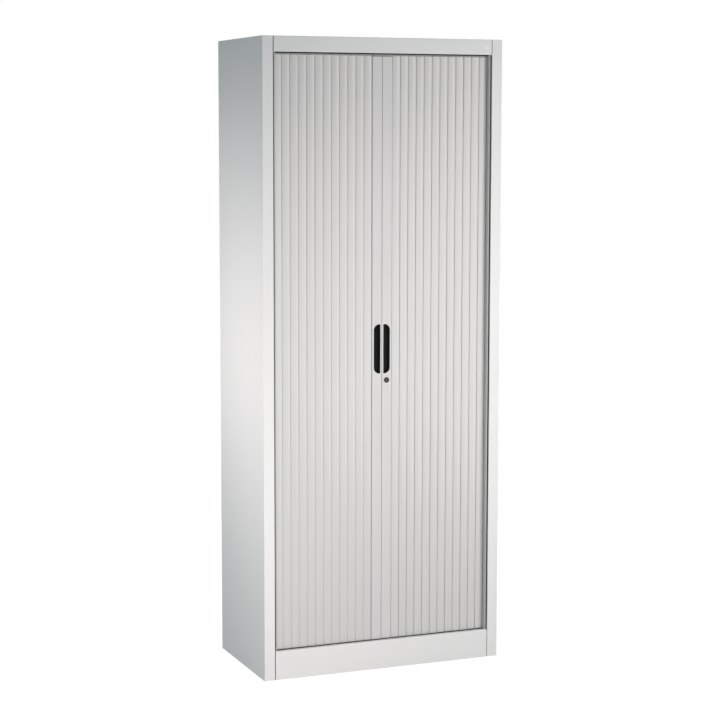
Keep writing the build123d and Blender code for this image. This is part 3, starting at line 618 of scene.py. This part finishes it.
# Acrylic, polished: glossy and almost white, milky over about 10 mm.
badge_acrylic, acrylic, tree, place = material("polished_acrylic", Roughness=0.15, IOR=1.49)
milk = node(tree, "ShaderNodeTexNoise", Vector=place, Scale=1 / (10 * MM), Detail=1.0)
dark, light = linear("#E9EBED"), linear("#F2F4F5")
shade = node(tree, "ShaderNodeMix", COLOURS, i0=milk.outputs["Fac"], i6=dark, i7=light)
feed(acrylic, Base_Color=shade.outputs[2])

# radius and depth from the rail's face, from the glued edge to the middle of the dome
BADGE_DOME = ((7.5, 0.0), (7.5, -0.35), (7.1, -0.6), (5.5, -0.74), (3.0, -0.8), (1.0, -0.8))
low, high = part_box("rail_badge")
centre = ((low[0] + high[0]) / 2 / MM, high[1] / MM, (low[2] + high[2]) / 2 / MM)
badge = bmesh.new()
turned(badge, BADGE_DOME, centre, segments=40)
piece = new_piece("badge_disc", badge, badge_acrylic, "cabinet")
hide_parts("rail_badge")


# Shelf hardware: slotted uprights, spot welded to the linings, and the clips that hook
# into them, all pressed from zinc-plated strip like the rivets and the lock's nut.

finish_nodes(("shelf_uprights", "shelf_clips"), zinc_plate)


# Levelling feet: hexagonal pads of black nylon, moulded round a steel stud that screws
# into the deck. The studs are out of sight, so each foot has the one finish.

# Nylon from a plain mould: dull black, with faint flow marks, 2 mm across.
foot_nylon, nylon, tree, place = material("black_nylon", Roughness=0.55, IOR=1.53)
flow = node(tree, "ShaderNodeTexNoise", Vector=place, Scale=1 / (2 * MM), Detail=2.0)
dark, light = linear("#1B1C1C"), linear("#262727")
shade = node(tree, "ShaderNodeMix", COLOURS, i0=flow.outputs["Fac"], i6=dark, i7=light)
feed(nylon, Base_Color=shade.outputs[2])
for end in ("front", "rear"):
    finish_nodes((f"{end}_left_foot", f"{end}_right_foot"), foot_nylon)


# Studio: a matt white floor that runs out of sight in a white surround, as for a product
# photograph. Soft lamps stand to the right of the camera, before the curtain, at three
# places on the left, and to the right of the cabinet, behind it and above it.


def seen_directly(tree):
    """1 for the camera's rays and for those that metal, gloss and glass send on."""
    rays = node(tree, "ShaderNodeLightPath")
    seen = rays.outputs["Is Camera Ray"]
    for kind in ("Is Glossy Ray", "Is Transmission Ray"):
        added = {"operation": "ADD", "use_clamp": True}
        seen = node(tree, "ShaderNodeMath", added, i0=seen, i1=rays.outputs[kind]).outputs[0]
    return seen


# Painted floor, matt: what is seen of it is mostly its own white glow, a little stronger
# far away so that no horizon shows, and the rest is lit and takes the cabinet's shadow.
GLOW_SHARE = 0.7
GLOW_RISE = {"From_Min": 1.0, "From_Max": 4.0, "To_Min": 1.36, "To_Max": 1.44}
floor_white, cove, tree, place = material(
    "matt_white_floor", Base_Color=linear("#B4B4B4"), Roughness=0.9
)
scaled = {"operation": "MULTIPLY"}
share = node(tree, "ShaderNodeMath", scaled, i0=seen_directly(tree), i1=GLOW_SHARE)
distance = node(tree, "ShaderNodeVectorMath", {"operation": "LENGTH"}, i0=place)
level = node(tree, "ShaderNodeMapRange", Value=distance.outputs["Value"], **GLOW_RISE)
glow = node(
    tree, "ShaderNodeEmission", Color=linear("#FFFFFF"), Strength=level.outputs["Result"]
)
lit, own = cove.outputs["BSDF"], glow.outputs["Emission"]
blend = node(tree, "ShaderNodeMixShader", Fac=share.outputs[0], i1=lit, i2=own)
feed(tree.nodes["Material Output"], Surface=blend.outputs["Shader"])

FLOOR_HALF = 15.0
floor_mesh = bmesh.new()
around = ((-1, -1), (1, -1), (1, 1), (-1, 1))
corners = [floor_mesh.verts.new((x * FLOOR_HALF, y * FLOOR_HALF, 0)) for x, y in around]
floor_mesh.faces.new(corners)
floor_data = bpy.data.meshes.new("studio_floor")
floor_mesh.to_mesh(floor_data)
floor_mesh.free()
floor_data.materials.append(floor_white)
studio_floor = bpy.data.objects.new("studio_floor", floor_data)
bpy.context.collection.objects.link(studio_floor)

# The surround is white to the eye and in reflections, and a cool dim fill to everything
# else, against the lamps' slight warmth.
world = bpy.data.worlds.new("white_surround")
bpy.context.scene.world = world
world.use_nodes = True
tree = world.node_tree
fill = tree.nodes["Background"]
feed(fill, Color=linear("#B7E3F1"), Strength=0.2)
white = node(tree, "ShaderNodeBackground", Color=linear("#FFFFFF"), Strength=1.0)
unseen, seen = fill.outputs["Background"], white.outputs["Background"]
blend = node(tree, "ShaderNodeMixShader", Fac=seen_directly(tree), i1=unseen, i2=seen)
feed(tree.nodes["World Output"], Surface=blend.outputs["Shader"])

LAMP_COLOUR = linear("#FFF7F5")[:3]


def soft_lamp(name, place, aim, size, power, spread=180.0, mirrored=True):
    """Rectangular soft box in metres and watts, not seen by the camera."""
    lamp = bpy.data.lights.new(name, "AREA")
    lamp.shape = "RECTANGLE"
    lamp.size, lamp.size_y = size
    lamp.energy = power
    lamp.color = LAMP_COLOUR
    lamp.spread = radians(spread)
    holder = bpy.data.objects.new(name, lamp)
    bpy.context.collection.objects.link(holder)
    holder.location = place
    away = Vector(place) - Vector(aim)
    holder.rotation_euler = away.to_track_quat("Z", "Y").to_euler()
    holder.visible_camera = False
    holder.visible_glossy = mirrored


soft_lamp("key_softbox", (1.25, -1.6, 1.25), (0.1, -0.2, 1.25), (0.9, 2.1), 17.1)
soft_lamp("front_softbox", (0.2, -1.6, 1.15), (0.16, -0.2, 1.15), (0.9, 1.2), 6.7)
soft_lamp("left_softbox", (-0.7, -1.6, 1.0), (-0.56, -0.2, 1.0), (0.9, 0.8), 5.0)
# small and near, so its reflection would show from behind as a white spot on the side
soft_lamp(
    "low_left_softbox", (-0.9, -1.4, 0.3), (-0.5, -0.2, 0.2), (0.5, 0.5), 6.4, mirrored=False
)
soft_lamp("side_softbox", (-1.5, -0.05, 1.02), (-0.4, -0.05, 1.02), (0.6, 0.65), 4.2, 120)
soft_lamp("right_softbox", (2.2, 0.3, 1.1), (0.4, 0.0, 1.0), (1.2, 1.4), 17)
soft_lamp("back_softbox", (0.0, 2.2, 1.1), (0.0, 0.2, 1.0), (1.4, 1.4), 19)
soft_lamp("top_softbox", (0.0, 0.3, 3.2), (0.0, 0.1, 1.98), (0.6, 0.4), 9.6)


# Camera: a long lens in front of the cabinet and to its left, below the height of its top
# and looking slightly down. A small shift brings the uprights nearer to parallel.

PHOTO_PIXELS = 720
LENS_PIXELS = 1902.7
LOOKS_DOWN = 6.425
LOOKS_RIGHT = 21.735
camera_data = bpy.data.cameras.new("camera")
camera_data.sensor_width = 36.0
camera_data.lens = LENS_PIXELS / PHOTO_PIXELS * camera_data.sensor_width
camera_data.shift_x = 0.03
camera_data.shift_y = -0.021
camera = bpy.data.objects.new("camera", camera_data)
bpy.context.collection.objects.link(camera)
camera.location = (-2.315, -5.630, 1.697)
camera.rotation_euler = (radians(90 - LOOKS_DOWN), 0, radians(-LOOKS_RIGHT))
bpy.context.scene.camera = camera
bpy.context.scene.view_settings.view_transform = "Standard"
